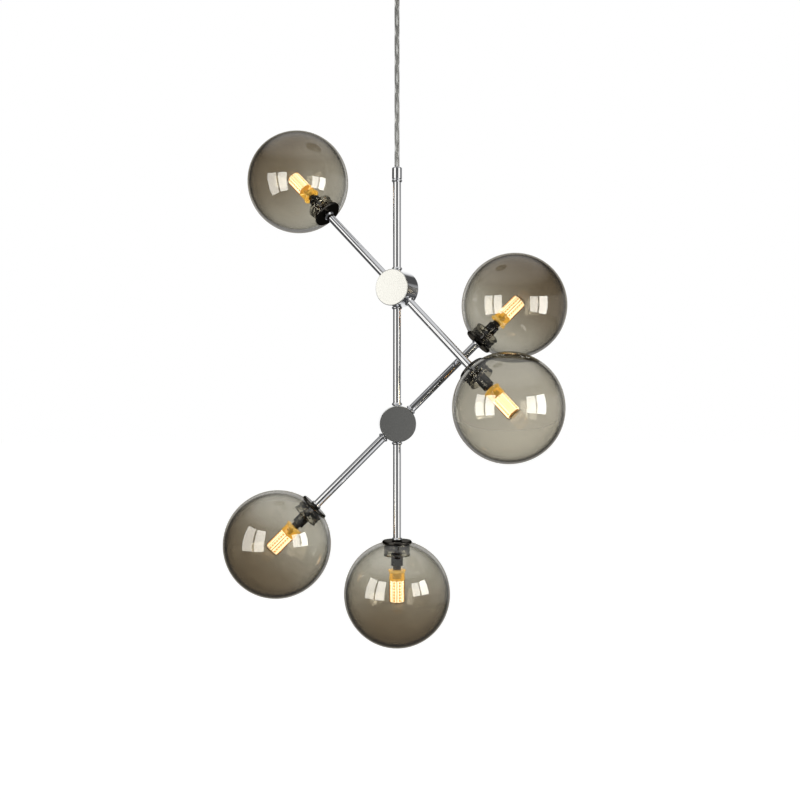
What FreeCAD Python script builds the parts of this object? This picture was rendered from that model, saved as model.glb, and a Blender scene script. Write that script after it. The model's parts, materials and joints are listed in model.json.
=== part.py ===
import FreeCAD, Part
import math
import os
import Sketcher

# A branch chandelier: two crossing arms and a stem carry five smoked glass globes, and one
# clear cable hangs them from a round ceiling canopy.
#
# Millimetres. +Z is up, and the origin is the middle of the face that lies on the ceiling.
# The front looks along -Y. Each arm is set round the stem at an angle of its own.

# ---------------------------------------------------------------- driving dimensions

SIZES = {
    # canopy, bracket and cable
    "canopy_radius": 55.0,
    "canopy_height": 32.0,
    "canopy_corner": 5.0,
    "canopy_wall": 1.0,
    "bracket_length": 96.0,
    "bracket_width": 18.0,
    "bracket_thickness": 2.0,
    "slot_spacing": 48.0,
    "slot_length": 16.0,
    "slot_width": 5.0,
    "screw_spacing": 80.0,
    "screw_radius": 2.0,
    "screw_head_radius": 4.0,
    "screw_tip_gap": 0.4,
    "gland_length": 15.0,
    "gland_radius": 7.5,
    "gland_tip_radius": 5.2,
    "gland_taper": 9.0,
    "gland_thread_radius": 5.0,
    "gland_thread_end": 2.5,
    "nut_corner_radius": 8.4,
    "nut_thickness": 3.5,
    "cable_radius": 2.6,
    "cable_drop": 185.0,
    "cable_tail": 5.0,
    "driver_length": 62.0,
    "driver_width": 30.0,
    "driver_height": 21.0,
    "driver_corner": 3.0,
    "driver_offset": 9.0,
    "block_length": 34.0,
    "block_width": 16.0,
    "block_height": 12.0,
    "block_offset": 14.0,
    "block_hole_radius": 1.6,
    "block_screw_radius": 2.2,
    "block_screw_depth": 3.0,
    "mains_wire_radius": 1.1,
    "mains_wire_spacing": 22.0,
    # stem and hubs
    "cap_height": 12.4,
    "cap_radius": 5.25,
    "cap_rounding": 1.2,
    "cap_thread_depth": 6.5,
    "cable_in_stem": 4.0,
    "stem_top_reach": 125.0,
    "hub_spacing": 140.0,
    "hub_radius": 18.7,
    "hub_depth": 25.0,
    "hub_wall": 2.6,
    "hub_edge": 0.6,
    "hub_cover_thickness": 2.4,
    "hub_cover_register": 2.0,
    "hub_cover_rim": 1.4,
    "upper_arm_azimuth": -28.0,
    "lower_arm_azimuth": 5.0,
    "arm_tilt": 45.0,
    "arm_reach": 174.0,
    "bottom_reach": 176.0,
    "tube_radius": 4.2,
    "tube_bore_radius": 3.2,
    "thread_radius": 3.85,
    "tube_in_hub": 2.0,
    "tube_in_sleeve": 0.6,
    "collar_length": 3.0,
    "collar_radius": 5.6,
    "collar_end_radius": 4.8,
    "collar_band": 0.6,
    "flex_radius": 1.5,
    "connector_radius": 7.0,
    "connector_depth": 10.0,
    # one light
    "disc_radius": 15.4,
    "disc_thickness": 1.2,
    "disc_dish": 1.0,
    "seal_thickness": 1.0,
    "seal_bore_radius": 11.4,
    "seal_radius": 14.0,
    "globe_radius": 55.0,
    "glass_wall": 2.0,
    "lip_radius": 14.5,
    "neck_bore_radius": 11.0,
    "neck_wall": 1.8,
    "neck_length": 14.0,
    "neck_rim_radius": 1.5,
    "cup_length": 9.0,
    "cup_base": 1.2,
    "cup_wall": 1.0,
    "glass_thread_height": 0.5,
    "glass_thread_lead": 4.0,
    "glass_thread_start": 2.4,
    "glass_thread_width": 1.2,
    "sleeve_reach": 25.0,
    "sleeve_radius": 6.1,
    "sleeve_wall": 0.7,
    "sleeve_base": 3.0,
    "holder_insert": 11.0,
    "nose_length": 3.8,
    "nose_radius": 4.1,
    "socket_depth": 8.5,
    "pin_spacing": 4.0,
    "pin_radius": 0.35,
    "pin_length": 7.5,
    "lamp_rim_radius": 9.0,
    "lamp_rim_length": 1.6,
    "lamp_base_radius": 8.2,
    "lamp_base_length": 10.8,
    "lamp_cover_radius": 8.2,
    "lamp_cover_length": 24.0,
    "lamp_cover_rounding": 1.5,
    # clearances
    "thread_gap": 0.05,
    "glass_thread_gap": 0.1,
    "part_gap": 0.1,
    "socket_gap": 0.1,
    "lamp_gap": 0.3,
}

doc = FreeCAD.newDocument("branch_chandelier")
sheet = doc.addObject("Spreadsheet::Sheet", "Sizes")
for row, (alias, number) in enumerate(SIZES.items(), start=1):
    sheet.set(f"A{row}", alias)
    sheet.set(f"B{row}", str(number))
    sheet.setAlias(f"B{row}", alias)
doc.recompute()


class Size:
    """A length or angle that knows both its number and the formula that gives it."""

    def __init__(self, number, formula):
        self.number = number
        self.formula = formula

    def __add__(self, other):
        other = as_size(other)
        return Size(self.number + other.number, f"({self.formula} + {other.formula})")

    def __sub__(self, other):
        other = as_size(other)
        return Size(self.number - other.number, f"({self.formula} - {other.formula})")

    def __mul__(self, other):
        other = as_size(other)
        return Size(self.number * other.number, f"({self.formula} * {other.formula})")

    def __truediv__(self, other):
        other = as_size(other)
        return Size(self.number / other.number, f"({self.formula} / {other.formula})")

    def __neg__(self):
        return Size(-self.number, f"(0 - {self.formula})")


def as_size(value):
    """A Size as it is, and a plain number as a Size."""
    return value if isinstance(value, Size) else Size(value, repr(value))


def root(size):
    """The square root of a Size."""
    return Size(math.sqrt(size.number), f"sqrt({size.formula})")


class Sizes:
    """The sheet's driving dimensions, as attributes with their aliases' names."""

    def __getattr__(self, alias):
        return Size(float(sheet.get(alias)), f"Sizes.{alias}")


size = Sizes()


# ---------------------------------------------------------------- sketch and feature helpers

def bind(thing, property_path, value):
    """Ties one property to its formula."""
    thing.setExpression(property_path, as_size(value).formula)


def own_plane(body, role):
    """One of the body's own origin planes."""
    return next(f for f in body.Origin.OriginFeatures if f.Role == role)


def new_body(name, placement):
    """An empty body in its place."""
    body = doc.addObject("PartDesign::Body", name)
    body.Label = name
    body.Placement = placement
    return body


def new_sketch(body, name, role, height=None, turned_about_y=None):
    """A sketch on one of the body's planes, raised or turned about Y if that is given."""
    sketch = body.newObject("Sketcher::SketchObject", name)
    sketch.AttachmentSupport = [(own_plane(body, role), "")]
    sketch.MapMode = "FlatFace"
    if turned_about_y is not None:
        turn = FreeCAD.Rotation(FreeCAD.Vector(0, 1, 0), turned_about_y.number)
        sketch.AttachmentOffset = FreeCAD.Placement(FreeCAD.Vector(), turn)
    if height is not None:
        bind(sketch, "AttachmentOffset.Base.z", height)
    return sketch


def hold(sketch, kind, side, end, value):
    """Holds one point of a side at a distance across or up from the sketch's origin."""
    number = as_size(value).number
    held = sketch.addConstraint(Sketcher.Constraint(kind, -1, 1, side, end, number))
    bind(sketch, f"Constraints[{held}]", value)


def draw_outline(sketch, corners, arcs=None):
    """A closed outline. arcs maps a side's number to (centre across, centre up, way), where
    way is "left" for an arc that turns left on its way to the next corner."""
    arcs = arcs or {}
    points = [FreeCAD.Vector(as_size(a).number, as_size(u).number, 0) for a, u in corners]
    sides = []
    for number, start in enumerate(points):
        finish = points[(number + 1) % len(points)]
        if number not in arcs:
            side = sketch.addGeometry(Part.LineSegment(start, finish), False)
            sides.append((side, 1, 2))
            continue
        across, up, way = arcs[number]
        centre = FreeCAD.Vector(as_size(across).number, as_size(up).number, 0)
        first, last = (start, finish) if way == "left" else (finish, start)
        angles = [math.atan2(p.y - centre.y, p.x - centre.x) for p in (first, last)]
        if angles[1] <= angles[0]:
            angles[1] += 2 * math.pi
        circle = Part.Circle(centre, FreeCAD.Vector(0, 0, 1), (start - centre).Length)
        side = sketch.addGeometry(Part.ArcOfCircle(circle, *angles), False)
        steep = abs(finish.y - start.y) >= abs(finish.x - start.x)
        if steep:
            hold(sketch, "DistanceX", side, 3, across)
        else:
            hold(sketch, "DistanceY", side, 3, up)
        sides.append((side, 1, 2) if way == "left" else (side, 2, 1))
    for number, (side, start_end, _) in enumerate(sides):
        before, _, finish_end = sides[number - 1]
        sketch.addConstraint(
            Sketcher.Constraint("Coincident", before, finish_end, side, start_end))
        hold(sketch, "DistanceX", side, start_end, corners[number][0])
        hold(sketch, "DistanceY", side, start_end, corners[number][1])


def draw_circle(sketch, across, up, radius):
    """A circle with its centre and radius held."""
    centre = FreeCAD.Vector(as_size(across).number, as_size(up).number, 0)
    normal = FreeCAD.Vector(0, 0, 1)
    side = sketch.addGeometry(Part.Circle(centre, normal, as_size(radius).number), False)
    held = sketch.addConstraint(Sketcher.Constraint("Radius", side, as_size(radius).number))
    bind(sketch, f"Constraints[{held}]", radius)
    hold(sketch, "DistanceX", side, 3, across)
    hold(sketch, "DistanceY", side, 3, up)


def turned(name, corners, placement, arcs=None, role="XZ_Plane"):
    """A body turned about its own Z axis, or about Y for an outline in the XY plane.
    Each corner is (radius, place along the axis)."""
    body = new_body(name, placement)
    sketch = new_sketch(body, f"{name}_outline", role)
    draw_outline(sketch, corners, arcs)
    turning = body.newObject("PartDesign::Revolution", f"{name}_turning")
    turning.Profile = sketch
    turning.ReferenceAxis = (sketch, ["V_Axis"])
    turning.Angle = 360
    return body


def pad(body, sketch, length, downwards=False):
    """Raises a sketch into a solid."""
    feature = body.newObject("PartDesign::Pad", f"{sketch.Name}_pad")
    feature.Profile = sketch
    bind(feature, "Length", length)
    feature.Reversed = downwards
    return feature


def cut_through(body, sketch):
    """Cuts a sketch through the whole body, both ways."""
    feature = body.newObject("PartDesign::Pocket", f"{sketch.Name}_cut")
    feature.Profile = sketch
    feature.Type = "ThroughAll"
    feature.SideType = "Symmetric"
    return feature


def cut_down(body, sketch, depth):
    """Cuts a sketch down from its plane to a depth."""
    feature = body.newObject("PartDesign::Pocket", f"{sketch.Name}_cut")
    feature.Profile = sketch
    bind(feature, "Length", depth)
    return feature


def rod(name, radius, length, placement):
    """A plain round rod along its own Z axis."""
    cylinder = doc.addObject("Part::Cylinder", name)
    bind(cylinder, "Radius", radius)
    bind(cylinder, "Height", length)
    cylinder.Placement = placement
    return cylinder


def joined(name, pieces):
    """Touching shapes joined to one solid."""
    fusion = doc.addObject("Part::MultiFuse", name)
    fusion.Shapes = pieces
    return fusion


def grouped(name, pieces):
    """Separate solids kept together in one node."""
    group = doc.addObject("Part::Compound", name)
    group.Label = name
    group.Links = pieces
    return group


def at(across=0, back=0, up=0):
    """A place with no turn."""
    numbers = [as_size(value).number for value in (across, back, up)]
    return FreeCAD.Placement(FreeCAD.Vector(*numbers), FreeCAD.Rotation())


def turn_about(axis, degrees):
    """A turn about one axis, with no move."""
    number = as_size(degrees).number
    return FreeCAD.Placement(FreeCAD.Vector(), FreeCAD.Rotation(FreeCAD.Vector(*axis), number))


# ---------------------------------------------------------------- heights and directions

CANOPY_FLOOR = -size.canopy_height
GLAND_TIP = CANOPY_FLOOR - size.gland_length
CAP_TOP = GLAND_TIP - size.cable_drop
UPPER_HUB = CAP_TOP - size.stem_top_reach
LOWER_HUB = UPPER_HUB - size.hub_spacing

# The frame of each hub: its axis lies along local Y, and its arm leans in local XZ.
UPPER_FRAME = at(up=UPPER_HUB) * turn_about((0, 0, 1), size.upper_arm_azimuth)
LOWER_FRAME = at(up=LOWER_HUB) * turn_about((0, 0, 1), size.lower_arm_azimuth)
STRAIGHT_UP = Size(0.0, "0")
STRAIGHT_DOWN = Size(180.0, "180")
HALF_TURN = 180


def outward(frame, tilt):
    """The frame of one tube: at the hub's centre, with +Z along the tube."""
    return frame * turn_about((0, 1, 0), tilt)


# ---------------------------------------------------------------- heights in one light
# Measured along the light's own axis, from the shoulder of its tube into the globe.

DISC_BACK = size.collar_length
DISC_FRONT = DISC_BACK + size.disc_thickness
SEAT = DISC_FRONT + size.seal_thickness
LIP_DEPTH = root(size.globe_radius * size.globe_radius - size.lip_radius * size.lip_radius)
GLOBE_CENTRE = SEAT + LIP_DEPTH
CUP_FRONT = DISC_FRONT + size.cup_base
SLEEVE_END = DISC_FRONT + size.sleeve_reach
HOLDER_BACK = SLEEVE_END - size.holder_insert
NOSE_END = SLEEVE_END + size.nose_length
LAMP_BACK = NOSE_END + size.lamp_gap
THREAD_END = CUP_FRONT + size.sleeve_base + size.tube_in_sleeve
THREAD_HOLE = size.thread_radius + size.thread_gap

# Along a tube, from the hub's centre.
TUBE_START = size.hub_radius - size.hub_wall - size.tube_in_hub
HUB_SHOULDER = size.hub_radius + size.collar_length
ARM_SHOULDER = size.arm_reach - GLOBE_CENTRE
BOTTOM_SHOULDER = size.bottom_reach - GLOBE_CENTRE
CAP_BOTTOM = size.stem_top_reach - size.cap_height


# ---------------------------------------------------------------- canopy and what it holds

def make_canopy(name):
    """The spun cup that hides the ceiling fixing, with a gland hole and two screw holes."""
    radius, floor, corner = size.canopy_radius, CANOPY_FLOOR, size.canopy_corner
    wall = size.canopy_wall
    hole = size.gland_thread_radius + size.part_gap
    corners = [
        (hole, floor), (radius - corner, floor), (radius, floor + corner), (radius, 0),
        (radius - wall, 0), (radius - wall, floor + corner),
        (radius - corner, floor + wall), (hole, floor + wall),
    ]
    arcs = {
        1: (radius - corner, floor + corner, "left"),
        5: (radius - corner, floor + corner, "right"),
    }
    body = turned(name, corners, at(), arcs)
    holes = new_sketch(body, f"{name}_screw_holes", "XY_Plane")
    for side in (-1, 1):
        draw_circle(holes, size.screw_spacing / 2 * side, 0, size.screw_radius + size.part_gap)
    cut_through(body, holes)
    return body


def make_bracket(name):
    """The flat steel strap on the ceiling, with two slots and two tapped holes."""
    body = new_body(name, at())
    strap = new_sketch(body, f"{name}_strap", "XY_Plane")
    half, wide = size.bracket_length / 2, size.bracket_width / 2
    draw_outline(strap, [(-half, -wide), (half, -wide), (half, wide), (-half, wide)])
    pad(body, strap, size.bracket_thickness, downwards=True)
    openings = new_sketch(body, f"{name}_openings", "XY_Plane")
    straight = (size.slot_length - size.slot_width) / 2
    narrow = size.slot_width / 2
    for side in (-1, 1):
        middle = size.slot_spacing / 2 * side
        left, right = middle - straight, middle + straight
        draw_outline(
            openings,
            [(left, -narrow), (right, -narrow), (right, narrow), (left, narrow)],
            {1: (right, 0, "left"), 3: (left, 0, "left")})
        draw_circle(
            openings, size.screw_spacing / 2 * side, 0, size.screw_radius + size.thread_gap)
    cut_through(body, openings)
    return body


def make_gland(name):
    """The tapered cable grip under the canopy, with the thread that passes its floor."""
    bore = size.cable_radius + size.thread_gap
    top = CANOPY_FLOOR + size.canopy_wall + size.nut_thickness + size.gland_thread_end
    corners = [
        (bore, GLAND_TIP), (size.gland_tip_radius, GLAND_TIP),
        (size.gland_radius, GLAND_TIP + size.gland_taper), (size.gland_radius, CANOPY_FLOOR),
        (size.gland_thread_radius, CANOPY_FLOOR), (size.gland_thread_radius, top), (bore, top),
    ]
    return turned(name, corners, at())


def make_canopy_fasteners(name):
    """Two dome-headed screws from below, and the gland's lock nut on the canopy floor."""
    pieces = []
    for side, word in ((-1, "left"), (1, "right")):
        place = at(across=size.screw_spacing / 2 * side, up=CANOPY_FLOOR)
        head = doc.addObject("Part::Sphere", f"{word}_screw_head")
        bind(head, "Radius", size.screw_head_radius)
        head.Angle1 = -90
        head.Angle2 = 0
        head.Placement = place
        shank_length = size.canopy_height - size.screw_tip_gap
        shank = rod(f"{word}_screw_shank", size.screw_radius, shank_length, place)
        pieces.append(joined(f"{word}_screw", [head, shank]))
    seat = at(up=CANOPY_FLOOR + size.canopy_wall)
    blank = doc.addObject("Part::Prism", "gland_nut_blank")
    blank.Polygon = 6
    bind(blank, "Circumradius", size.nut_corner_radius)
    bind(blank, "Height", size.nut_thickness)
    blank.Placement = seat
    thread = rod("gland_nut_thread", size.gland_thread_radius + size.thread_gap,
                 size.nut_thickness, seat)
    nut = doc.addObject("Part::Cut", "gland_nut")
    nut.Base = blank
    nut.Tool = thread
    return grouped(name, [*pieces, nut])


def make_driver(name):
    """The low-voltage driver, a potted box that stands on the canopy floor."""
    body = new_body(name, at(back=size.driver_offset, up=CANOPY_FLOOR + size.canopy_wall))
    sketch = new_sketch(body, f"{name}_plan", "XY_Plane")
    half, wide, corner = size.driver_length / 2, size.driver_width, size.driver_corner
    draw_outline(
        sketch,
        [(-half, corner), (corner - half, 0), (half - corner, 0), (half, corner),
         (half, wide - corner), (half - corner, wide), (corner - half, wide),
         (-half, wide - corner)],
        {0: (corner - half, corner, "left"), 2: (half - corner, corner, "left"),
         4: (half - corner, wide - corner, "left"), 6: (corner - half, wide - corner, "left")})
    pad(body, sketch, size.driver_height)
    return body


def make_terminal_block(name):
    """The mains terminal block: two wire ways through it, each with a clamp screw above."""
    place = at(back=-size.block_offset - size.block_width, up=CANOPY_FLOOR + size.canopy_wall)
    body = new_body(name, place)
    plan = new_sketch(body, f"{name}_plan", "XY_Plane")
    half, wide = size.block_length / 2, size.block_width
    draw_outline(plan, [(-half, 0), (half, 0), (half, wide), (-half, wide)])
    pad(body, plan, size.block_height)
    ways = new_sketch(body, f"{name}_wire_ways", "XZ_Plane")
    wells = new_sketch(body, f"{name}_screw_wells", "XY_Plane", height=size.block_height)
    for side in (-1, 1):
        across = size.mains_wire_spacing / 2 * side
        draw_circle(ways, across, size.block_height / 2, size.block_hole_radius)
        draw_circle(wells, across, wide / 2, size.block_screw_radius)
    cut_through(body, ways)
    cut_down(body, wells, size.block_screw_depth)
    return body


def make_canopy_wiring(name):
    """The cable's flex up to the driver, and two wires from the driver to the block."""
    block_middle = CANOPY_FLOOR + size.canopy_wall + size.block_height / 2
    cable_top = gland_top() + size.cable_tail
    bend = size.driver_offset / 2
    points = [
        FreeCAD.Vector(0, 0, cable_top.number),
        FreeCAD.Vector(0, 0, (cable_top + size.flex_radius).number),
        FreeCAD.Vector(0, bend.number, (cable_top + size.flex_radius + bend).number),
        FreeCAD.Vector(0, size.driver_offset.number,
                       (cable_top + size.flex_radius + bend).number),
    ]
    middle = points[1] + FreeCAD.Vector(
        0, bend.number * (1 - math.cos(math.radians(45))),
        bend.number * math.sin(math.radians(45)))
    route = Part.Wire([
        Part.LineSegment(points[0], points[1]).toShape(),
        Part.Arc(points[1], middle, points[2]).toShape(),
        Part.LineSegment(points[2], points[3]).toShape(),
    ])
    ring = Part.Wire(Part.Circle(
        points[0], FreeCAD.Vector(0, 0, 1), size.flex_radius.number).toShape())
    lamp_lead = doc.addObject("Part::Feature", "driver_lead")
    lamp_lead.Shape = route.makePipeShell([ring], True, False)
    wires = [lamp_lead]
    for side, word in ((-1, "live"), (1, "neutral")):
        across = size.mains_wire_spacing / 2 * side
        start = at(across=across, back=-size.block_offset - size.block_width / 4, up=block_middle)
        length = size.driver_offset + size.block_offset + size.block_width / 4
        place = start * turn_about((1, 0, 0), -90)
        wires.append(rod(f"{word}_wire", size.mains_wire_radius, length, place))
    return grouped(name, wires)


def gland_top():
    """Where the gland's thread ends inside the canopy."""
    return CANOPY_FLOOR + size.canopy_wall + size.nut_thickness + size.gland_thread_end


# ---------------------------------------------------------------- cable, cap and tubes

def make_cable(name):
    """The clear round cable, pulled straight by the weight, from canopy to stem."""
    low = CAP_TOP - size.cap_height - size.cable_in_stem
    length = gland_top() + size.cable_tail - low
    cable = rod(name, size.cable_radius, length, at(up=low))
    cable.Label = name
    return cable


def make_cable_cap(name):
    """The turned cap that grips the cable and screws on the stem's top."""
    top, bottom = CAP_TOP, CAP_TOP - size.cap_height
    outer, rounding = size.cap_radius, size.cap_rounding
    cable_hole = size.cable_radius + size.thread_gap
    corners = [
        (cable_hole, top), (cable_hole, bottom + size.cap_thread_depth),
        (THREAD_HOLE, bottom + size.cap_thread_depth), (THREAD_HOLE, bottom),
        (outer - rounding / 2, bottom), (outer, bottom + rounding / 2),
        (outer, top - rounding), (outer - rounding, top),
    ]
    arcs = {6: (outer - rounding, top - rounding, "left")}
    return turned(name, corners, at(), arcs)


def make_tube(name, start, shoulder, far_shoulder, end, placement):
    """A chromed tube with a thread at each end."""
    bore, thread, outer = size.tube_bore_radius, size.thread_radius, size.tube_radius
    corners = [
        (bore, start), (thread, start), (thread, shoulder), (outer, shoulder),
        (outer, far_shoulder), (thread, far_shoulder), (thread, end), (bore, end),
    ]
    return turned(name, corners, placement)


def make_collar(name, low, placement):
    """A small double-coned lock collar, from its place along a tube."""
    middle = low + size.collar_length / 2
    band = size.collar_band / 2
    corners = [
        (THREAD_HOLE, low), (size.collar_end_radius, low),
        (size.collar_radius, middle - band), (size.collar_radius, middle + band),
        (size.collar_end_radius, low + size.collar_length),
        (THREAD_HOLE, low + size.collar_length),
    ]
    return turned(name, corners, placement)


def make_collars(name, places):
    """All the collars of one rigid body."""
    collars = [make_collar(f"{name}_{number}", low, placement)
               for number, (low, placement) in enumerate(places, start=1)]
    return grouped(name, collars)


# ---------------------------------------------------------------- hubs

def make_hub(name, frame, tilt):
    """The drum where the tubes cross: an open front, and four threaded holes in its wall."""
    radius, edge, back = size.hub_radius, size.hub_edge, size.hub_depth / 2
    inside = radius - size.hub_wall
    mouth = size.hub_cover_thickness - back
    corners = [
        (0, back), (0, back - size.hub_wall), (inside, back - size.hub_wall),
        (inside, mouth), (radius, mouth), (radius, back - edge), (radius - edge, back),
    ]
    body = turned(name, corners, frame, role="XY_Plane")
    for direction, word in ((STRAIGHT_UP, "stem"), (tilt, "arm")):
        sketch = new_sketch(body, f"{name}_{word}_holes", "XY_Plane", turned_about_y=direction)
        draw_circle(sketch, 0, 0, THREAD_HOLE)
        cut_through(body, sketch)
    return body


def make_hub_cover(name, frame):
    """The polished front plate, with the rim that locates it in the drum."""
    radius, edge, front = size.hub_radius, size.hub_edge, -size.hub_depth / 2
    register = radius - size.hub_wall - size.part_gap
    inner_face = front + size.hub_cover_thickness
    corners = [
        (0, front), (radius - edge, front), (radius, front + edge), (radius, inner_face),
        (register, inner_face), (register, inner_face + size.hub_cover_register),
        (register - size.hub_cover_rim, inner_face + size.hub_cover_register),
        (register - size.hub_cover_rim, inner_face), (0, inner_face),
    ]
    return turned(name, corners, frame, role="XY_Plane")


def make_hub_wiring(name, frame, runs):
    """The splice in the hub and the flex that leaves it along each tube."""
    across_hub = frame * turn_about((1, 0, 0), -90) * at(up=-size.connector_depth / 2)
    pieces = [rod(f"{name}_splice", size.connector_radius, size.connector_depth, across_hub)]
    for number, (tilt, length) in enumerate(runs, start=1):
        pieces.append(
            rod(f"{name}_flex_{number}", size.flex_radius, length, outward(frame, tilt)))
    wiring = joined(name, pieces)
    wiring.Label = name
    return wiring


# ---------------------------------------------------------------- one light

def make_cover_disc(name, place):
    """The thin chromed disc that closes the globe's mouth, its rim bent towards the glass."""
    rim_back = DISC_BACK + size.disc_dish
    corners = [
        (THREAD_HOLE, DISC_BACK), (size.lip_radius, DISC_BACK), (size.disc_radius, rim_back),
        (size.disc_radius, rim_back + size.disc_thickness), (size.lip_radius, DISC_FRONT),
        (THREAD_HOLE, DISC_FRONT),
    ]
    return turned(name, corners, place)


def make_seal(name, place):
    """The soft washer between the disc and the ground lip of the glass."""
    corners = [
        (size.seal_bore_radius, DISC_FRONT), (size.seal_radius, DISC_FRONT),
        (size.seal_radius, SEAT), (size.seal_bore_radius, SEAT),
    ]
    return turned(name, corners, place)


def make_cup(name, place):
    """The threaded cup that the globe's neck screws over, its thread drawn as two ribs."""
    crest = size.neck_bore_radius - size.glass_thread_gap
    core = crest - size.glass_thread_height
    third = size.glass_thread_width / 3
    end = DISC_FRONT + size.cup_length
    corners = [(THREAD_HOLE, DISC_FRONT), (core, DISC_FRONT)]
    for rib in range(2):
        low = DISC_FRONT + size.glass_thread_start + size.glass_thread_lead * rib
        corners += [(core, low), (crest, low + third), (crest, low + third * 2),
                    (core, low + size.glass_thread_width)]
    corners += [(core, end), (core - size.cup_wall, end), (core - size.cup_wall, CUP_FRONT),
                (THREAD_HOLE, CUP_FRONT)]
    return turned(name, corners, place)


def make_sleeve(name, place):
    """The black sleeve that clamps the stack and holds the lampholder."""
    outer, inner = size.sleeve_radius, size.sleeve_radius - size.sleeve_wall
    corners = [
        (THREAD_HOLE, CUP_FRONT), (outer, CUP_FRONT), (outer, SLEEVE_END), (inner, SLEEVE_END),
        (inner, CUP_FRONT + size.sleeve_base), (THREAD_HOLE, CUP_FRONT + size.sleeve_base),
    ]
    return turned(name, corners, place)


def make_lampholder(name, place):
    """The two-pin lampholder, its nose standing out of the sleeve."""
    outer = size.sleeve_radius - size.sleeve_wall - size.part_gap
    corners = [
        (0, HOLDER_BACK), (outer, HOLDER_BACK), (outer, SLEEVE_END),
        (size.nose_radius, SLEEVE_END), (size.nose_radius, NOSE_END), (0, NOSE_END),
    ]
    body = turned(name, corners, place)
    sockets = new_sketch(body, f"{name}_sockets", "XY_Plane", height=NOSE_END)
    for side in (-1, 1):
        draw_circle(sockets, size.pin_spacing / 2 * side, 0, size.pin_radius + size.socket_gap)
    cut_down(body, sockets, size.socket_depth)
    return body


def make_lamp(name, place):
    """The two-pin lamp: a rimmed base, and the cover round its light strips."""
    base_end = LAMP_BACK + size.lamp_base_length
    cover_end = base_end + size.lamp_cover_length
    rim_end = LAMP_BACK + size.lamp_rim_length
    cover, rounding = size.lamp_cover_radius, size.lamp_cover_rounding
    corners = [
        (0, LAMP_BACK), (size.lamp_rim_radius, LAMP_BACK), (size.lamp_rim_radius, rim_end),
        (size.lamp_base_radius, rim_end + size.lamp_rim_length), (cover, base_end),
        (cover, cover_end - rounding), (cover - rounding, cover_end), (0, cover_end),
    ]
    arcs = {5: (cover - rounding, cover_end - rounding, "left")}
    body = turned(name, corners, place, arcs)
    pins = new_sketch(body, f"{name}_pins", "XY_Plane", height=LAMP_BACK)
    for side in (-1, 1):
        draw_circle(pins, size.pin_spacing / 2 * side, 0, size.pin_radius)
    pad(body, pins, size.pin_length, downwards=True)
    return body


def make_globe(name, place):
    """The blown globe: one wall that turns in at its mouth to a short neck with a rolled rim."""
    outer, inner = size.globe_radius, size.globe_radius - size.glass_wall
    bore, rim = size.neck_bore_radius, size.neck_rim_radius
    neck = bore + size.neck_wall
    rim_start = SEAT + size.neck_length - rim
    neck_root = GLOBE_CENTRE - root(inner * inner - neck * neck)
    corners = [
        (0, GLOBE_CENTRE + outer), (size.lip_radius, SEAT), (bore, SEAT), (bore, rim_start),
        (bore + rim * 2, rim_start), (neck, rim_start - rim), (neck, neck_root),
        (0, GLOBE_CENTRE + inner),
    ]
    arcs = {
        0: (0, GLOBE_CENTRE, "right"),
        3: (bore + rim, rim_start, "right"),
        6: (0, GLOBE_CENTRE, "left"),
    }
    return turned(name, corners, place, arcs)


LIGHT_PIECES = {
    "cover_disc": make_cover_disc,
    "seal": make_seal,
    "cup": make_cup,
    "sleeve": make_sleeve,
    "lampholder": make_lampholder,
    "lamp": make_lamp,
    "globe": make_globe,
}


# ---------------------------------------------------------------- the whole object

nodes = [
    make_canopy("canopy"),
    make_bracket("ceiling_bracket"),
    make_canopy_fasteners("canopy_fasteners"),
    make_gland("cable_gland"),
    make_driver("driver"),
    make_terminal_block("terminal_block"),
    make_canopy_wiring("canopy_wiring"),
    make_cable("cable"),
    make_cable_cap("cable_cap"),
]

# Tilts from straight up, towards the right of each hub's own front view.
UPPER_TILT = -size.arm_tilt
LOWER_TILT = size.arm_tilt
ARMS = {
    "upper_left": (UPPER_FRAME, UPPER_TILT),
    "lower_right": (UPPER_FRAME, UPPER_TILT + HALF_TURN),
    "upper_right": (LOWER_FRAME, LOWER_TILT),
    "lower_left": (LOWER_FRAME, LOWER_TILT + HALF_TURN),
}
STEM_ABOVE = outward(UPPER_FRAME, STRAIGHT_UP)
STEM_BETWEEN = outward(UPPER_FRAME, STRAIGHT_DOWN)
STEM_BELOW = outward(LOWER_FRAME, STRAIGHT_DOWN)
ARM_END = ARM_SHOULDER + THREAD_END
BETWEEN_SHOULDER = size.hub_spacing - HUB_SHOULDER

nodes += [
    make_tube("stem_upper", TUBE_START, HUB_SHOULDER, CAP_BOTTOM - size.collar_length,
              CAP_BOTTOM + size.cap_thread_depth - size.part_gap, STEM_ABOVE),
    make_tube("stem_middle", TUBE_START, HUB_SHOULDER, BETWEEN_SHOULDER,
              size.hub_spacing - TUBE_START, STEM_BETWEEN),
    make_tube("stem_lower", TUBE_START, HUB_SHOULDER, BOTTOM_SHOULDER,
              BOTTOM_SHOULDER + THREAD_END, STEM_BELOW),
]
for arm, (frame, tilt) in ARMS.items():
    nodes.append(make_tube(f"{arm}_arm", TUBE_START, HUB_SHOULDER, ARM_SHOULDER, ARM_END,
                           outward(frame, tilt)))

for word, frame, tilt in (("upper", UPPER_FRAME, UPPER_TILT), ("lower", LOWER_FRAME, LOWER_TILT)):
    nodes.append(make_hub(f"{word}_hub", frame, tilt))
    nodes.append(make_hub_cover(f"{word}_hub_cover", frame))

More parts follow.
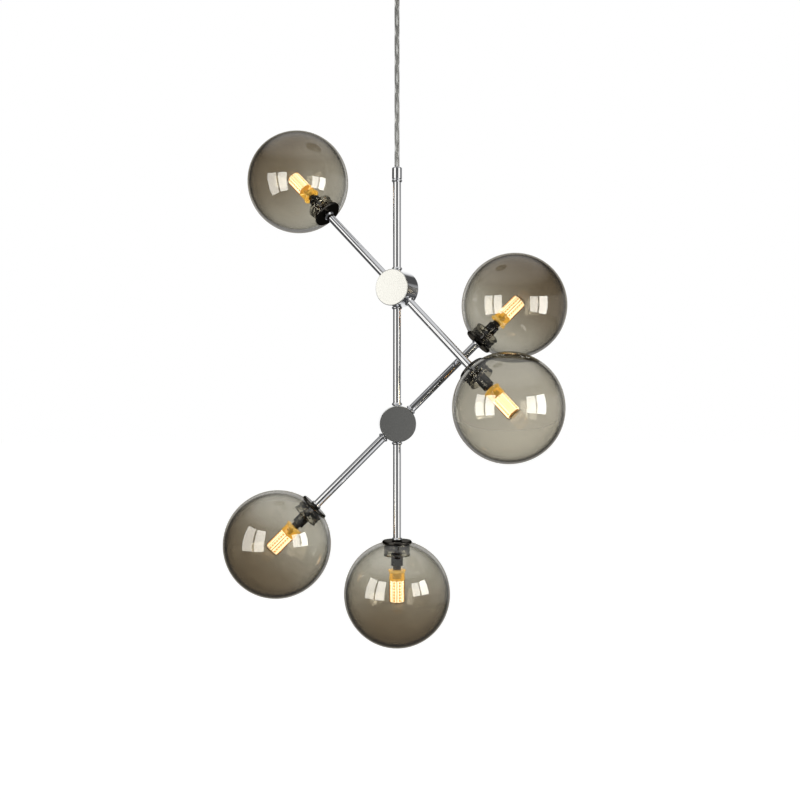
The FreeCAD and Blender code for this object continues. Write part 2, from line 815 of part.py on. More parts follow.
upper_arms = [outward(*ARMS["upper_left"]), outward(*ARMS["lower_right"])]
lower_arms = [outward(*ARMS["upper_right"]), outward(*ARMS["lower_left"])]
nodes += [
    make_collars("stem_collars", [
        (size.hub_radius, STEM_ABOVE), (CAP_BOTTOM - size.collar_length, STEM_ABOVE)]),
    make_collars("upper_arm_collars", [
        *((size.hub_radius, place) for place in [*upper_arms, STEM_BETWEEN]),
        (BETWEEN_SHOULDER, STEM_BETWEEN), *((ARM_SHOULDER, place) for place in upper_arms)]),
    make_collars("lower_arm_collars", [
        *((size.hub_radius, place) for place in [*lower_arms, STEM_BELOW]),
        (BOTTOM_SHOULDER, STEM_BELOW), *((ARM_SHOULDER, place) for place in lower_arms)]),
]

arm_flex = ARM_SHOULDER + HOLDER_BACK
bottom_flex = BOTTOM_SHOULDER + HOLDER_BACK
flex_to_cable = CAP_BOTTOM - size.cable_in_stem
flex_to_lower_hub = size.hub_spacing - size.connector_radius - size.lamp_gap
nodes += [
    make_hub_wiring("upper_hub_wiring", UPPER_FRAME, [
        (STRAIGHT_UP, flex_to_cable), (UPPER_TILT, arm_flex),
        (UPPER_TILT + HALF_TURN, arm_flex), (STRAIGHT_DOWN, flex_to_lower_hub)]),
    make_hub_wiring("lower_hub_wiring", LOWER_FRAME, [
        (LOWER_TILT, arm_flex), (LOWER_TILT + HALF_TURN, arm_flex),
        (STRAIGHT_DOWN, bottom_flex)]),
]

lights = {arm: outward(frame, tilt) * at(up=ARM_SHOULDER) for arm, (frame, tilt) in ARMS.items()}
lights["bottom"] = STEM_BELOW * at(up=BOTTOM_SHOULDER)
for light, place in lights.items():
    for piece, make in LIGHT_PIECES.items():
        nodes.append(make(f"{light}_{piece}", place))

doc.recompute()

# ---------------------------------------------------------------- checks and files

for thing in doc.Objects:
    if "Invalid" in thing.State or "Error" in thing.State:
        raise RuntimeError(f"{thing.Label} did not recompute: {thing.State}")
for node in nodes:
    if node.Shape.isNull() or not node.Shape.isValid():
        raise RuntimeError(f"{node.Label} has no valid shape")

os.makedirs("parts", exist_ok=True)
for node in nodes:
    node.Shape.exportStep(f"parts/{node.Label}.step")
print(f"{len(nodes)} nodes")
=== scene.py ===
# %% [markdown]
# # A branch chandelier in smoked glass and chrome
#
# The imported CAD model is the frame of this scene. It already has every tube, hub and plate at its
# real size, so this script only dresses it: it gives each piece a finish, and it replaces the pieces
# whose beauty is in fine shape, such as the blown globes and the lamps, with richer meshes.

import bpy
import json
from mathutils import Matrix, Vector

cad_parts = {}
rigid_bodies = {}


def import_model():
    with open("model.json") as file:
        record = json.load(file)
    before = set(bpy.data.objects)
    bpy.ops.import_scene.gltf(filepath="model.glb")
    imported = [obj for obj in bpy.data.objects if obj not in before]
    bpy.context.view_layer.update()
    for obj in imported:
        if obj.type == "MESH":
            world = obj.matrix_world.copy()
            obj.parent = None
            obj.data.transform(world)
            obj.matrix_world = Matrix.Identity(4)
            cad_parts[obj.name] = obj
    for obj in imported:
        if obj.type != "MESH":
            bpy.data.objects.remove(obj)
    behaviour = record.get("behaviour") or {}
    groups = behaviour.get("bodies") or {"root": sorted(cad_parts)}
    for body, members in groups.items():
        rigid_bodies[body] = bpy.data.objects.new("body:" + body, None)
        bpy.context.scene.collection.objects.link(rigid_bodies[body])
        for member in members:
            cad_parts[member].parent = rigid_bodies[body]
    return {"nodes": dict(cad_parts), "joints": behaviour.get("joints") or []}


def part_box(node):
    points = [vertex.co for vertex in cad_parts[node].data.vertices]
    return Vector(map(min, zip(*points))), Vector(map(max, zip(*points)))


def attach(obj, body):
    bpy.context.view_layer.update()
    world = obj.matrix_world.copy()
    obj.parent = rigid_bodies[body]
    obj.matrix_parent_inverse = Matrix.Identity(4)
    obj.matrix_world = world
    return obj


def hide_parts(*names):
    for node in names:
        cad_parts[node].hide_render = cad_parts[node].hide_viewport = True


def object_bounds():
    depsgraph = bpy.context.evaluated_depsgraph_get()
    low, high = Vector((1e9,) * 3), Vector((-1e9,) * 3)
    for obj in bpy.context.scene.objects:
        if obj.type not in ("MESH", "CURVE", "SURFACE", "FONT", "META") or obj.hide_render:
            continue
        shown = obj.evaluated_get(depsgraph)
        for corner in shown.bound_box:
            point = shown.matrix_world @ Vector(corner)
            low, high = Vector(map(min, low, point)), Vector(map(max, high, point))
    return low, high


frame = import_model()
cad_box = [list(corner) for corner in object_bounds()]

import json
import math

import bmesh
import bpy
from mathutils import Matrix, Vector, noise

MM = 0.001
print("nodes", len(frame["nodes"]), "box", cad_box)

# %% [markdown]
# ## Where the five lights are
#
# Each light turns on its own axis, which runs from the tube's end out through the globe. The globe's
# screw joint already knows that axis and the globe's centre, so nothing is measured by eye. A light's
# own frame has its origin at the globe's centre and its Z axis pointing outwards.

# %% Light frames
LIGHTS = ("upper_left", "lower_right", "upper_right", "lower_left", "bottom")
joints = {joint["name"]: joint for joint in frame["joints"]}


def light_place(light):
    """The matrix that takes a light's own frame to the whole object's frame."""
    turn = joints[f"{light}_globe_turn"]
    outward = Vector(turn["axis"])
    return Matrix.Translation(turn["pos_m"]) @ outward.to_track_quat("Z", "Y").to_matrix().to_4x4()


PLACES = {light: light_place(light) for light in LIGHTS}
BODIES = {
    light: {
        "arm": joints[f"{light}_lamp_pull"]["parent"],
        "lamp": joints[f"{light}_lamp_pull"]["child"],
        "glass": joints[f"{light}_globe_turn"]["child"],
    }
    for light in LIGHTS
}


def span(piece):
    """Start, end and radius of a piece along its light's axis, read from the light that hangs straight."""
    low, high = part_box(f"bottom_{piece}")
    centre = PLACES["bottom"].translation.z
    return centre - high.z, centre - low.z, (high.x - low.x) / 2


SPANS = {piece: span(piece) for piece in ("globe", "cup", "sleeve", "lamp")}
for piece, values in SPANS.items():
    print(piece, [round(value / MM, 2) for value in values])

# %% [markdown]
# ## Colours and nodes
#
# Colours are picked as sRGB hex values, the way a paint chart gives them, but a renderer adds light
# in linear values. One function does that change. A second one adds a shader node, fills its
# sockets and links it, so that each material below reads as a short list.

# %% Colour and node helpers
def linear(hex_colour):
    """An sRGB hex colour as linear red, green, blue and alpha."""
    shares = [int(hex_colour[place:place + 2], 16) / 255 for place in (1, 3, 5)]
    return [s / 12.92 if s <= 0.04045 else ((s + 0.055) / 1.055) ** 2.4 for s in shares] + [1.0]


def add_node(tree, kind, inputs=None, **settings):
    """Adds one node, sets its options, and fills its sockets with values or links."""
    node = tree.nodes.new(kind)
    for option, value in settings.items():
        setattr(node, option, value)
    for socket, value in (inputs or {}).items():
        if isinstance(value, bpy.types.NodeSocket):
            tree.links.new(value, node.inputs[socket])
        else:
            node.inputs[socket].default_value = value
    return node


def new_material(name):
    """An empty material: its node tree and its output node."""
    material = bpy.data.materials.new(name)
    material.use_nodes = True
    material.node_tree.nodes.clear()
    return material, material.node_tree, add_node(material.node_tree, "ShaderNodeOutputMaterial")


def show(tree, output, shader):
    """Sends a shader to the material's surface."""
    tree.links.new(shader.outputs[0], output.inputs["Surface"])


def grain(tree, size_mm, detail=2.0):
    """A noise whose patches are about size_mm across on the object."""
    where = add_node(tree, "ShaderNodeTexCoord")
    return add_node(tree, "ShaderNodeTexNoise", {
        "Vector": where.outputs["Object"], "Scale": 1 / (size_mm * MM), "Detail": detail})


def spread(tree, value, low, high):
    """Takes a 0 to 1 value to the range from low to high."""
    return add_node(tree, "ShaderNodeMapRange", {
        "Value": value, "To Min": low, "To Max": high}).outputs["Result"]


print("white is", linear("#ffffff")[:3])

# %% [markdown]
# ## Chrome plate
#
# The tubes, the hubs and the canopy are steel, polished and plated with bright nickel and chrome.
# Plating gives a mirror with a faint cool cast. Polishing never leaves a perfect mirror: the
# reflections waver a little, and a thin haze comes and goes, so the roughness and the bump follow
# soft noises. The hubs' front plates are blasted to satin before plating. The thin discs over the
# globes are black chrome, which is a dark mirror at any angle: its edge tint is dark too.

# %% Chrome
def plated(name, colour, rough_low, rough_high, haze_mm, waver_mm, waver_depth, edge="#ffffff"):
    """A plated metal with a haze in its roughness and a faint waver in its surface."""
    material, tree, output = new_material(name)
    haze = grain(tree, haze_mm)
    waver = grain(tree, waver_mm, 0.0)
    bump = add_node(tree, "ShaderNodeBump", {
        "Height": waver.outputs["Fac"], "Distance": waver_depth * MM, "Strength": 1.0})
    show(tree, output, add_node(tree, "ShaderNodeBsdfPrincipled", {
        "Base Color": linear(colour), "Metallic": 1.0, "Specular Tint": linear(edge),
        "Roughness": spread(tree, haze.outputs["Fac"], rough_low, rough_high),
        "Normal": bump.outputs["Normal"]}))
    return material


CHROME = plated("polished_chrome_plate", "#e0e1e4", 0.03, 0.08, 9, 14, 0.006)
FACE_CHROME = plated("satin_chrome_plate", "#dcdcd8", 0.21, 0.25, 8, 16, 0.002)
DARK_CHROME = plated("black_chrome_plate", "#4a4844", 0.05, 0.12, 4, 9, 0.01, "#6e6c68")
BLACK_NICKEL = plated("black_nickel_plate", "#45423d", 0.16, 0.30, 3, 5, 0.03, "#8a8782")
ZINC = plated("zinc_plated_steel", "#a9acb0", 0.28, 0.46, 2.5, 6, 0.03)
print("metals", CHROME.name, FACE_CHROME.name, DARK_CHROME.name, BLACK_NICKEL.name, ZINC.name)

# %% [markdown]
# ## Smoked glass
#
# The globes are blown soda-lime glass with a thin smoke coat. On most of them the coat is densest at
# the pole, away from the neck, so the tint deepens along the light's own axis. One globe is paler,
# with an even coat. All look darker near the outline, where the eye looks along the wall instead of
# through it. A plain glass shader would cast a solid shadow on the lamp inside, so shadow rays pass
# a tinted clear film instead.

# %% Smoked glass
GLASS_INDEX = 1.5
SMOKE_TINTS = ("#d9d7ce", "#9d9280")
PALE_TINTS = ("#cfccc2", "#dad6cb")
RIM_TINT = "#6a6558"
EDGE_FILM = "#a8a397"
SHADOW_FILM = "#dcd9d2"
CLOUD_MM = 45
CLOUD_DEPTH = 0.16
GRAZING_POWER = 2.8
GRAZING_SHARE = 0.85
FILM_STARTS, FILM_FULL, FILM_SHARE = 0.60, 0.90, 0.75
GLOBE_RADIUS = SPANS["globe"][2]


def smoked_glass(name, neck_tint, pole_tint):
    """Clear blown glass with a smoke coat that goes from one tint at the neck to another at the pole."""
    material, tree, output = new_material(name)
    where = add_node(tree, "ShaderNodeTexCoord")
    axes = add_node(tree, "ShaderNodeSeparateXYZ", {"Vector": where.outputs["Object"]})
    cloud = grain(tree, CLOUD_MM, 1.0)
    depth = add_node(tree, "ShaderNodeMapRange", {
        "Value": axes.outputs["Z"], "From Min": -GLOBE_RADIUS, "From Max": GLOBE_RADIUS},
        interpolation_type="SMOOTHSTEP")
    patchy = add_node(tree, "ShaderNodeMath", {
        0: depth.outputs["Result"],
        1: spread(tree, cloud.outputs["Fac"], -CLOUD_DEPTH, CLOUD_DEPTH)},
        operation="ADD", use_clamp=True)
    smoke = add_node(tree, "ShaderNodeMix", {
        "Factor": patchy.outputs[0], "A": linear(neck_tint), "B": linear(pole_tint)},
        data_type="RGBA")
    edge = add_node(tree, "ShaderNodeLayerWeight", {"Blend": 0.5})
    grazing = add_node(tree, "ShaderNodeMath", {
        0: edge.outputs["Facing"], 1: GRAZING_POWER}, operation="POWER")
    tint = add_node(tree, "ShaderNodeMix", {
        "Factor": spread(tree, grazing.outputs[0], 0.0, GRAZING_SHARE),
        "A": smoke.outputs["Result"], "B": linear(RIM_TINT)}, data_type="RGBA")
    glass = add_node(tree, "ShaderNodeBsdfPrincipled", {
        "Base Color": tint.outputs["Result"], "Roughness": 0.0, "IOR": GLASS_INDEX,
        "Transmission Weight": 1.0})
    film = add_node(tree, "ShaderNodeBsdfTransparent", {"Color": linear(SHADOW_FILM)})
    dark_film = add_node(tree, "ShaderNodeBsdfTransparent", {"Color": linear(EDGE_FILM)})
    near_outline = add_node(tree, "ShaderNodeMapRange", {
        "Value": edge.outputs["Facing"], "From Min": FILM_STARTS, "From Max": FILM_FULL,
        "To Min": 0.0, "To Max": FILM_SHARE}, interpolation_type="SMOOTHSTEP")
    wall = add_node(tree, "ShaderNodeMixShader", {
        0: near_outline.outputs["Result"], 1: glass.outputs[0], 2: dark_film.outputs[0]})
    path = add_node(tree, "ShaderNodeLightPath")
    show(tree, output, add_node(tree, "ShaderNodeMixShader", {
        0: path.outputs["Is Shadow Ray"], 1: wall.outputs[0], 2: film.outputs[0]}))
    return material


SMOKED_GLASS = smoked_glass("smoked_soda_glass", *SMOKE_TINTS)
PALE_GLASS = smoked_glass("pale_smoked_soda_glass", *PALE_TINTS)
print("glass", SMOKED_GLASS.name, PALE_GLASS.name)

# %% [markdown]
# ## Plastics, rubber and paint
#
# Moulded plastics differ mostly in colour, gloss and grain, so one function makes them all. The
# mould leaves a grain of a fraction of a millimetre, and a little unevenness in the colour. Clear
# ones let light through instead.

# %% Moulded and painted surfaces
def moulded(name, colour, second, rough, grain_mm, depth_mm, coat=0.0, clear=0.0, index=1.5):
    """A moulded or painted surface: two close colours, a grain, and a coat or some clearness."""
    material, tree, output = new_material(name)
    mottle = grain(tree, grain_mm * 8)
    texture = grain(tree, grain_mm, 3.0)
    colours = add_node(tree, "ShaderNodeMix", {
        "Factor": mottle.outputs["Fac"], "A": linear(colour), "B": linear(second)},
        data_type="RGBA")
    bump = add_node(tree, "ShaderNodeBump", {
        "Height": texture.outputs["Fac"], "Distance": depth_mm * MM, "Strength": 1.0})
    show(tree, output, add_node(tree, "ShaderNodeBsdfPrincipled", {
        "Base Color": colours.outputs["Result"],
        "Roughness": spread(tree, texture.outputs["Fac"], rough * 0.8, rough * 1.2),
        "IOR": index, "Coat Weight": coat, "Coat Roughness": 0.04,
        "Transmission Weight": clear, "Normal": bump.outputs["Normal"]}))
    return material


BLACK_GLOSS = moulded("black_gloss_enamel", "#0b0b0c", "#121110", 0.12, 0.9, 0.004, coat=0.3)
CERAMIC = moulded("black_glazed_steatite", "#17130f", "#221a13", 0.38, 0.5, 0.02)
SILICONE = moulded("clear_silicone_rubber", "#c9c7c0", "#bdbab2", 0.35, 0.4, 0.01, clear=0.5,
                   index=1.41)
NYLON = moulded("natural_nylon", "#dcdcd6", "#d2d2cb", 0.25, 0.5, 0.01, clear=0.35)
WHITE_PLASTIC = moulded("white_polycarbonate", "#e6e6e2", "#dddcd7", 0.42, 0.35, 0.03)
WIRE_PVC = moulded("white_pvc_insulation", "#deddd8", "#d2d1cb", 0.35, 0.6, 0.01)
CABLE_PVC = moulded("clear_pvc_sheath", "#f4f4f2", "#ecece8", 0.10, 0.8, 0.004, clear=0.85,
                    index=1.53)
TINNED_COPPER = plated("tinned_copper_strand", "#d4d4cf", 0.30, 0.45, 0.8, 0.5, 0.05)
print("plastics", BLACK_GLOSS.name, CERAMIC.name, SILICONE.name, CABLE_PVC.name)

# %% [markdown]
# ## What glows
#
# The lamp's light strips are alumina boards with yellow phosphor chips. Lit, the boards look white
# and the chips a deep yellow. The clear cover and base catch that light and turn amber. The strips,
# the chips, the core and the base each have their own plain emission, so that the lamps look lit in
# any view. The core and the base give no light of their own: their amber emission is painted glow,
# standing for the strips' light caught in them. The cover has no emission.

# %% Lit surfaces
def lit(name, colour, glow, strength, rough=0.4, clear=0.0):
    """A surface that shines by itself, with a soft unevenness in its colour."""
    material, tree, output = new_material(name)
    uneven = grain(tree, 1.5)
    colours = add_node(tree, "ShaderNodeMix", {
        "Factor": uneven.outputs["Fac"], "A": linear(colour), "B": linear(glow)},
        data_type="RGBA")
    show(tree, output, add_node(tree, "ShaderNodeBsdfPrincipled", {
        "Base Color": colours.outputs["Result"], "Roughness": rough,
        "Transmission Weight": clear, "Emission Color": linear(glow),
        "Emission Strength": strength}))
    return material


STRIP_GLOW = lit("lit_alumina_strip", "#fffaf0", "#fff6dc", 2.7)
CHIP_GLOW = lit("lit_yellow_phosphor", "#ffa814", "#ffa40e", 1.1)
# Painted glow: the core and the base are no light sources, and their emission stands for the strips' light
# caught in them.
CORE_PAINTED_GLOW = lit("amber_painted_glow_core", "#a86f20", "#c98a1c", 0.6)
BASE_PAINTED_GLOW = lit("polycarbonate_painted_amber_glow", "#fff0c0", "#ffd060", 0.22, rough=0.06, clear=0.92)
CLEAR_COVER = moulded("clear_polycarbonate_cover", "#fffaf0", "#fff5e2", 0.05, 2.0, 0.01,
                      clear=1.0, index=1.35)
BASE_BITS = moulded("brown_lacquered_board", "#4a2a12", "#5d3717", 0.35, 0.4, 0.03, coat=0.5)
print("lit", STRIP_GLOW.name, CHIP_GLOW.name, CORE_PAINTED_GLOW.name)

# %% [markdown]
# ## Dress the CAD pieces
#
# A carried-over CAD piece keeps its exact shape and only changes its material slots. The table
# pairs the ends of the node names with a finish, so every light's pieces are dressed at once.

# %% CAD finishes
FINISHES = {
    "canopy": CHROME, "ceiling_bracket": ZINC, "canopy_fasteners": ZINC, "cable_gland": NYLON,
    "driver": WHITE_PLASTIC, "terminal_block": WHITE_PLASTIC, "wiring": WIRE_PVC,
    "cable_cap": CHROME, "collars": CHROME, "stem_upper": CHROME, "stem_middle": CHROME,
    "stem_lower": CHROME, "arm": CHROME, "hub": CHROME, "hub_cover": FACE_CHROME,
    "cover_disc": DARK_CHROME, "seal": SILICONE, "lampholder": CERAMIC,
}


def dress(node, material):
    node.data.materials.clear()
    node.data.materials.append(material)


dressed = 0
for name, node in frame["nodes"].items():
    endings = [ending for ending in FINISHES if name.endswith(ending)]
    if endings:
        dress(node, FINISHES[max(endings, key=len)])
        dressed += 1
print("dressed", dressed, "CAD pieces")

# %% [markdown]
# ## Turning a profile
#
# Glass blowers, spinners and lathe hands all make round things, so most new pieces here are one
# outline turned about an axis. Real edges are never razor sharp, so the outline's corners are eased
# first: each one becomes a short curve that catches a highlight.

# %% Lathe helpers
def eased(corners, ease, steps=3):
    """The outline with each of its corners turned into a short curve."""
    points = []
    for place, corner in enumerate(corners):
        here = Vector(corner)
        into = Vector(corners[place - 1]) - here
        out = Vector(corners[(place + 1) % len(corners)]) - here
        reach = min(ease, into.length * 0.45, out.length * 0.45)
        if here.x < MM / 100 or reach < MM / 1000:
            points.append(tuple(here))
            continue
        start, end = here + into.normalized() * reach, here + out.normalized() * reach
        for step in range(steps + 1):
            share = step / steps
            points.append(tuple(
                start * (1 - share) ** 2 + here * 2 * share * (1 - share) + end * share ** 2))
    return points


def arc(centre_up, radius, start, end, steps):
    """Points on a circle about the axis, between two angles from the outward pole."""
    return [(radius * math.sin(start + (end - start) * step / steps),
             centre_up + radius * math.cos(start + (end - start) * step / steps))
            for step in range(steps + 1)]


def turned_mesh(name, outline, sides=96, shift=None, closed=True):
    """An outline of (radius, height) points turned about Z. shift may move a point's radius."""
    shape = bmesh.new()
    rings = []
    for radius, height in outline:
        if radius < MM / 100:
            rings.append([shape.verts.new((0, 0, height))])
            continue
        ring = []
        for side in range(sides):
            angle = math.tau * side / sides
            wide = radius + (shift(radius, height, angle) if shift else 0)
            ring.append(shape.verts.new((wide * math.cos(angle), wide * math.sin(angle), height)))
        rings.append(ring)
    pairs = list(zip(rings, rings[1:] + rings[:1])) if closed else list(zip(rings, rings[1:]))
    for lower, upper in pairs:
        if len(lower) == len(upper) == 1:
            continue  # two points on the axis have no face between them
        for side in range(sides):
            after = (side + 1) % sides
            corners = [lower[side % len(lower)], lower[after % len(lower)],
                       upper[after % len(upper)], upper[side % len(upper)]]
            shape.faces.new(dict.fromkeys(corners))
    bmesh.ops.recalc_face_normals(shape, faces=shape.faces)
    mesh = bpy.data.meshes.new(name)
    shape.to_mesh(mesh)
    shape.free()
    mesh.shade_smooth()
    mesh.set_sharp_from_angle(angle=math.radians(40))
    return mesh


def place_piece(name, mesh, place, body, material, slot, *nodes):
    """Puts a mesh in its place, on its body, with its finish, instead of the nodes it stands for."""
    piece = bpy.data.objects.new(name, mesh)
    bpy.context.scene.collection.objects.link(piece)
    piece.matrix_world = place
    mesh.materials.clear()
    mesh.materials.append(material)
    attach(piece, body)
    if nodes:
        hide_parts(*nodes)
    return piece


print("lathe ready")

# %% [markdown]
# ## The blown globes
#
# A globe is one wall of glass: a sphere whose mouth turns in to a short threaded neck with a rolled
# rim. It is made hollow, with an inner and an outer skin 2 mm apart, because glass looks right only
# when light bends at both. Blown glass is never even, so both skins waver together by a tenth of a
# millimetre, and the neck's moulded thread runs round it as a screw line.

# %% Globe shape
GLASS_WALL = 2.0 * MM
LIP_RADIUS = 14.5 * MM
NECK_BORE = 11.0 * MM
NECK_WALL = 1.8 * MM
RIM_RADIUS = 1.5 * MM
NECK_LENGTH = 14.0 * MM
THREAD_LEAD = 4.0 * MM
THREAD_HEIGHT = 0.7 * MM
SKIN_WAVER = 0.12 * MM
WAVER_SIZE = 38 * MM


def globe_outline():
    """The wall's outline in the light's own frame, from the pole round to the pole again."""
    inner = GLOBE_RADIUS - GLASS_WALL
    seat = -math.sqrt(GLOBE_RADIUS ** 2 - LIP_RADIUS ** 2)
    neck = NECK_BORE + NECK_WALL
    root = -math.sqrt(inner ** 2 - neck ** 2)
    rim = seat + NECK_LENGTH - RIM_RADIUS
    outer_skin = arc(0, GLOBE_RADIUS, 0, math.pi - math.asin(LIP_RADIUS / GLOBE_RADIUS) - 0.02, 72)
    lip = eased([outer_skin[-1], (LIP_RADIUS - 0.4 * MM, seat), (NECK_BORE, seat),
                 (NECK_BORE, seat + 3 * MM)], 0.6 * MM)[4:12]
    bore = [(NECK_BORE, seat + (rim - seat) * step / 26) for step in range(3, 27)]
    roll = [(NECK_BORE + RIM_RADIUS - RIM_RADIUS * math.cos(math.pi * step / 10),
             rim + RIM_RADIUS * math.sin(math.pi * step / 10)) for step in range(1, 11)]
    under = [(neck + 0.3 * MM, rim - RIM_RADIUS * 0.7)]
    below_rim, above_root = rim - RIM_RADIUS * 1.2, root + 2.5 * MM
    outside = [(neck, below_rim + (above_root - below_rim) * step / 20) for step in range(21)]
    fillet = [(neck + 0.5 * MM, root + 0.9 * MM), (neck + 1.6 * MM, root + 0.25 * MM)]
    inner_skin = arc(0, inner, math.pi - math.asin((neck + 3 * MM) / inner), 0, 66)
    return outer_skin + lip + bore + roll + under + outside + fillet + inner_skin


def globe_waver(seed):
    """How far each point of one globe's glass lies from its true round."""
    seat = SPANS["globe"][0]

    def shift(radius, height, angle):
        where = Vector((radius * math.cos(angle), radius * math.sin(angle), height)) / WAVER_SIZE
        waver = (noise.noise(where + Vector((seed * 7.3, 0, 0))) - 1) * SKIN_WAVER
        if radius > NECK_BORE + NECK_WALL * 1.6:
            return waver
        turn = (height - seat) / THREAD_LEAD - angle / math.tau
        up = height - seat
        fade = max(0.0, min(1.0, (up - 2 * MM) / (2 * MM), (12 * MM - up) / (2 * MM)))
        return THREAD_HEIGHT * fade * (0.5 - 0.5 * math.cos(math.tau * turn)) ** 2
    return shift


for number, light in enumerate(LIGHTS):
    mesh = turned_mesh(f"{light}_globe_glass", globe_outline(), sides=168, shift=globe_waver(number),
                       closed=False)
    glass = PALE_GLASS if light == "lower_right" else SMOKED_GLASS
    place_piece(f"{light}_globe_glass", mesh, PLACES[light], BODIES[light]["glass"], glass,
                "smoked_glass", f"{light}_globe")
print("globes", len(LIGHTS), "points in each", len(mesh.vertices))

# %% [markdown]
# ## Cups and sleeves
#
# The globe screws onto a threaded cup, pressed from thin steel and plated in black nickel. Its
# thread is one ridge that climbs 4 mm a turn, like the glass's own. A black enamelled sleeve clamps
# the cup and carries the lampholder. Its two eased ends and a shallow groove catch the studio light.

# %% Cup and sleeve shapes
CUP_WALL = 1.0 * MM
RIDGE = 0.5 * MM
SLEEVE_WALL = 0.9 * MM
TUBE_HOLE = 3.9 * MM


def cup_outline():
    start, end, crest = SPANS["cup"]
    core = crest - RIDGE
    side = [(core, start + (end - start) * step / 36) for step in range(37)]
    rest = eased([side[-1], (core - CUP_WALL, end), (core - CUP_WALL, start + CUP_WALL),
                  (TUBE_HOLE, start + CUP_WALL), (TUBE_HOLE, start), side[0]], 0.2 * MM)
    return side + rest[4:-4]


def cup_thread(radius, height, angle):
    """The height of the rolled ridge over the cup's wall."""
    start, end, crest = SPANS["cup"]
    if radius < crest - RIDGE * 1.2:
        return 0
    turn = (height - start) / THREAD_LEAD - angle / math.tau
    fade = max(0.0, min(1.0, (height - start) / (2 * MM), (end - height) / (1.5 * MM)))
    return RIDGE * fade * (0.5 - 0.5 * math.cos(math.tau * turn)) ** 2


def sleeve_outline():
    start, end, radius = SPANS["sleeve"]
    groove = end - 3.4 * MM
    return eased([
        (TUBE_HOLE, start), (radius - 0.5 * MM, start), (radius, start + 0.5 * MM),
        (radius, groove), (radius - 0.3 * MM, groove + 0.2 * MM),
        (radius - 0.3 * MM, groove + 0.6 * MM), (radius, groove + 0.8 * MM),
        (radius, end - 0.3 * MM), (radius - 0.3 * MM, end), (radius - SLEEVE_WALL, end),
        (radius - SLEEVE_WALL, start + 2 * MM), (TUBE_HOLE, start + 2 * MM)], 0.25 * MM)


for light in LIGHTS:
    body = BODIES[light]["arm"]
    cup = turned_mesh(f"{light}_cup_pressing", cup_outline(), 96, cup_thread)
    place_piece(f"{light}_cup_pressing", cup, PLACES[light], body, BLACK_NICKEL, "cup_steel",
                f"{light}_cup")
    sleeve = turned_mesh(f"{light}_sleeve_turning", sleeve_outline(), 64)
    place_piece(f"{light}_sleeve_turning", sleeve, PLACES[light], body, BLACK_GLOSS, "black_gloss",
                f"{light}_sleeve")
print("cups and sleeves", 2 * len(LIGHTS))

# %% [markdown]
# ## The lamps
#
# Each lamp is a slim two-pin one. A flared clear base holds a small brown board. Above it stands an
# eight-sided core with a light strip on each side, every strip a row of yellow chips. A clear cover
# with a rounded end closes it. Building the strips and chips one by one is what makes the lit lamp
# read as bars and dots, as the real one does.

# %% Lamp parts
LAMP_START, LAMP_END, LAMP_RIM = SPANS["lamp"]
PIN_LENGTH = 7.5 * MM
PIN_RADIUS = 0.35 * MM
PIN_SPREAD = 2.0 * MM
BASE_START = LAMP_START + PIN_LENGTH
BASE_END = BASE_START + 10.8 * MM
RIM_DEPTH = 1.6 * MM
BASE_RADIUS = 8.2 * MM
COVER_WALL = 0.5 * MM
COVER_ROUNDING = 3 * MM
STRIPS = 8
CHIPS = 7
CORE_RADIUS = 6.3 * MM
STRIP_WIDTH = 4.2 * MM
STRIP_DEPTH = 0.8 * MM
CHIP_SIZE = 1.9 * MM
CHIP_DEPTH = 0.5 * MM
CORE_START = BASE_END + 0.6 * MM
CORE_END = LAMP_END - 2.2 * MM


def blocks_mesh(name, blocks, bevel):
    """Many small boxes as one mesh, each centred on its place, their edges eased."""
    shape = bmesh.new()
    for size, place in blocks:
        bmesh.ops.create_cube(shape, size=1.0, matrix=place @ Matrix.Diagonal((*size, 1)))
    bmesh.ops.bevel(shape, geom=shape.edges[:], offset=bevel, segments=2, affect="EDGES")
    mesh = bpy.data.meshes.new(name)
    shape.to_mesh(mesh)
    shape.free()
    mesh.shade_smooth()
    mesh.set_sharp_from_angle(angle=math.radians(50))
    return mesh


def around(angle, out, up):
    """A place at some angle round the light's axis, its own X axis pointing outwards."""
    return Matrix.Rotation(angle, 4, "Z") @ Matrix.Translation((out, 0, up))


def strip_blocks():
    middle, length = (CORE_START + CORE_END) / 2, CORE_END - CORE_START
    size = (STRIP_DEPTH, STRIP_WIDTH, length)
    out = CORE_RADIUS + STRIP_DEPTH / 2
    return [(size, around(math.tau * (strip + 0.5) / STRIPS, out, middle)) for strip in range(STRIPS)]


def chip_blocks():
    pitch = (CORE_END - CORE_START) / CHIPS
    out = CORE_RADIUS + STRIP_DEPTH + 0.2 * MM
    return [((CHIP_DEPTH, CHIP_SIZE, CHIP_SIZE), around(
        math.tau * (strip + 0.5) / STRIPS, out, CORE_START + pitch * (chip + 0.5)))
        for strip in range(STRIPS) for chip in range(CHIPS)]


def board_blocks():
    """The board in the base, with a coil and two small parts on it."""
    sizes_and_places_mm = (
        ((9, 1.2, 7.5), (0, 0, 5.5)), ((3.4, 3.2, 3.6), (1.8, 2.2, 5)),
        ((2.2, 2.4, 5), (-2.6, -1.8, 5)), ((2.6, 1.8, 2.0), (2.4, -1.5, 7.6)))
    base = Vector((0, 0, BASE_START))
    return [(Vector(size) * MM, Matrix.Translation(base + Vector(place) * MM))
            for size, place in sizes_and_places_mm]


def base_outline():
    return eased([
        (0, BASE_START), (LAMP_RIM, BASE_START), (LAMP_RIM, BASE_START + RIM_DEPTH * 0.6),
        (BASE_RADIUS - 0.3 * MM, BASE_START + RIM_DEPTH * 2), (BASE_RADIUS, BASE_END),
        (BASE_RADIUS - 1 * MM, BASE_END), (BASE_RADIUS - 1.2 * MM, BASE_START + RIM_DEPTH * 2),
        (0, BASE_START + RIM_DEPTH)], 0.4 * MM)


